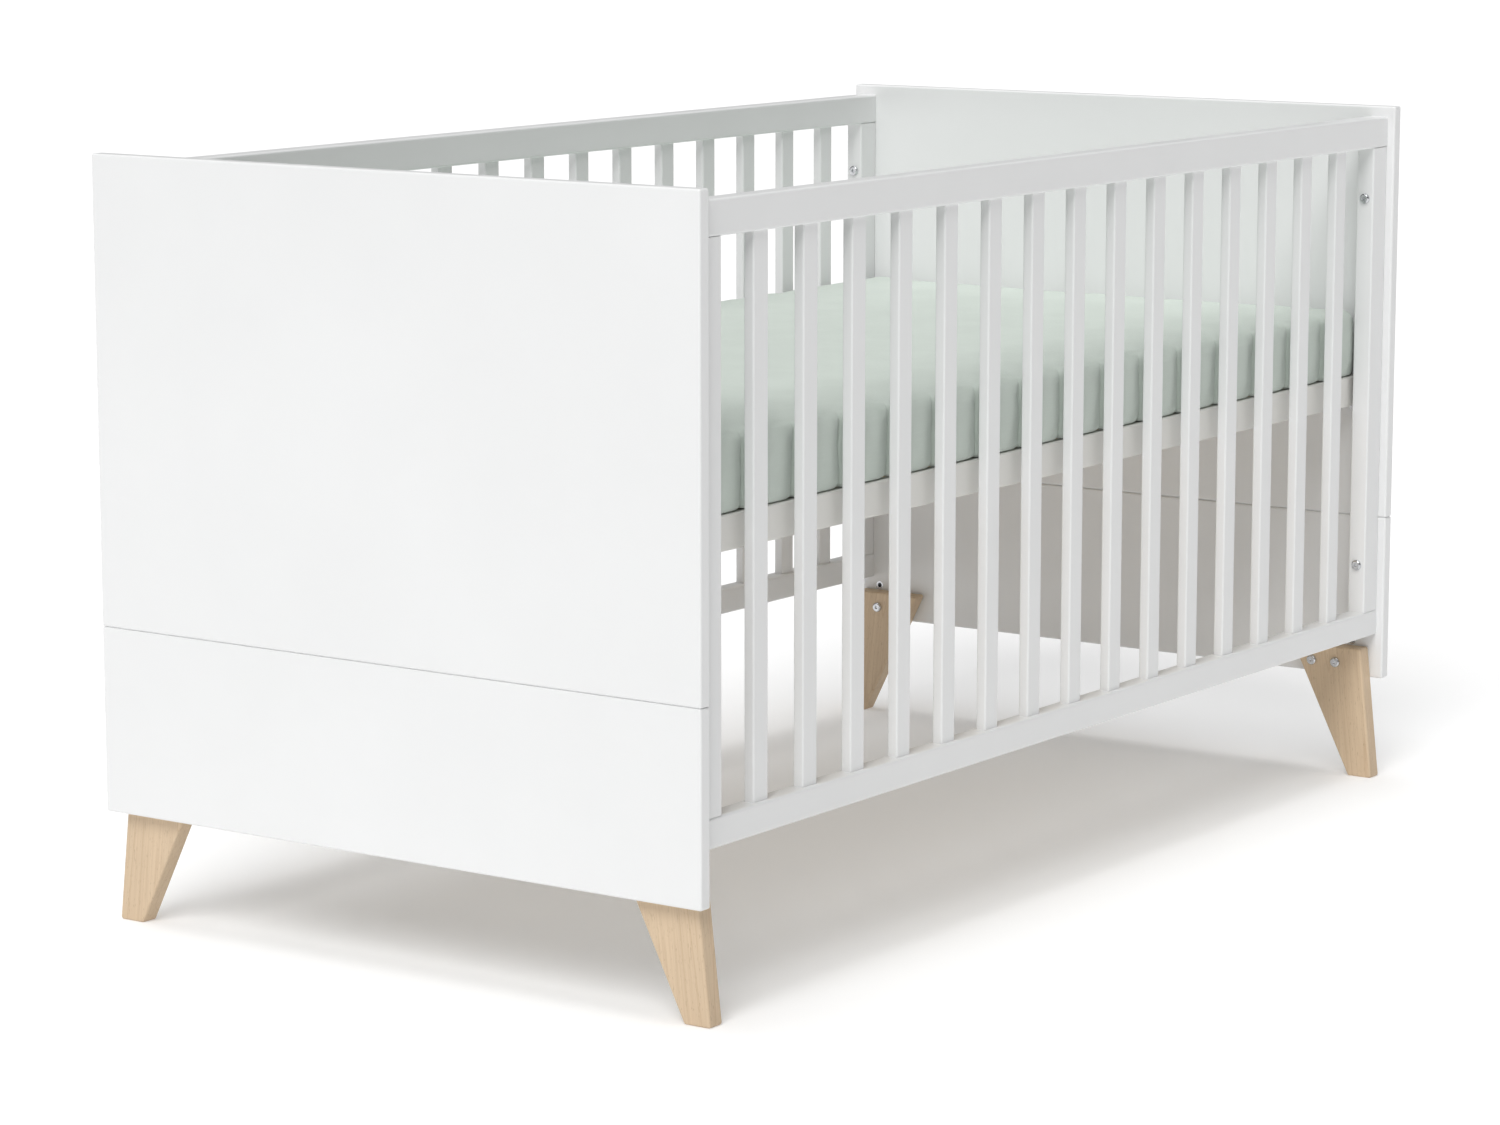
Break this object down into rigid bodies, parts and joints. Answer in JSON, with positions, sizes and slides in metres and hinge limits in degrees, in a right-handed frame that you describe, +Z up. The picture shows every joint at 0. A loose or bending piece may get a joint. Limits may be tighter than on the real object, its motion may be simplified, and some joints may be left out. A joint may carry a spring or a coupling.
{
  "type": "baby crib",
  "caption": "Baby crib with solid end panels, slatted sides, splayed wooden legs, a mattress base at one of two heights and a sheeted mattress that lifts out.",
  "frame": {"origin": "middle of the floor under the crib", "axes": "+X along the crib from the foot end to the head end, +Y from the front side to the back side, +Z up"},
  "size_m": [1.44, 0.77, 0.813],
  "materials": {
    "white_lacquer": "satin lacquer",
    "leg_timber": "matt oil",
    "base_paint": "satin lacquer",
    "slat_timber": "sawn and sanded",
    "dowel_timber": "turned",
    "foam_cover": "knitted",
    "sheet_cotton": "jersey cotton",
    "zinc": "bright zinc"
  },
  "bodies": {
    "frame": {"back_bar_01": "white_lacquer", "back_bar_02": "white_lacquer", "back_bar_03": "white_lacquer", "back_bar_04": "white_lacquer", "back_bar_05": "white_lacquer", "back_bar_06": "white_lacquer", "back_bar_07": "white_lacquer", "back_bar_08": "white_lacquer", "back_bar_09": "white_lacquer", "back_bar_10": "white_lacquer", "back_bar_11": "white_lacquer", "back_bar_12": "white_lacquer", "back_bar_13": "white_lacquer", "back_bar_14": "white_lacquer", "back_bar_15": "white_lacquer", "back_bottom_rail": "white_lacquer", "back_foot_leg": "leg_timber", "back_foot_stile": "white_lacquer", "back_head_leg": "leg_timber", "back_head_stile": "white_lacquer", "back_top_rail": "white_lacquer", "foot_end_lower_board": "white_lacquer", "foot_end_upper_board": "white_lacquer", "front_bar_01": "white_lacquer", "front_bar_02": "white_lacquer", "front_bar_03": "white_lacquer", "front_bar_04": "white_lacquer", "front_bar_05": "white_lacquer", "front_bar_06": "white_lacquer", "front_bar_07": "white_lacquer", "front_bar_08": "white_lacquer", "front_bar_09": "white_lacquer", "front_bar_10": "white_lacquer", "front_bar_11": "white_lacquer", "front_bar_12": "white_lacquer", "front_bar_13": "white_lacquer", "front_bar_14": "white_lacquer", "front_bar_15": "white_lacquer", "front_bottom_rail": "white_lacquer", "front_foot_leg": "leg_timber", "front_foot_stile": "white_lacquer", "front_head_leg": "leg_timber", "front_head_stile": "white_lacquer", "front_top_rail": "white_lacquer", "head_end_lower_board": "white_lacquer", "head_end_upper_board": "white_lacquer", "leg_bolts": "zinc", "side_bolts": "zinc", "threaded_inserts": "zinc", "wood_dowels": "dowel_timber"},
    "mattress_base": {"base_front_rail": "base_paint", "base_back_rail": "base_paint", "base_foot_rail": "base_paint", "base_head_rail": "base_paint", "base_slats": "slat_timber", "slat_screws": "zinc", "base_frame_screws": "zinc", "support_pins": "zinc"},
    "mattress": {"mattress_core": "foam_cover", "fitted_sheet": "sheet_cotton"}
  },
  "joints": [
    {"name": "base_height", "type": "slide", "parent": "frame", "child": "mattress_base", "axis": [0, 0, 1], "range_m": [-0.287, 0]},
    {"name": "mattress_lift_out", "type": "slide", "parent": "mattress_base", "child": "mattress", "axis": [0, 0, 1], "range_m": [0, 0.65]}
  ]
}
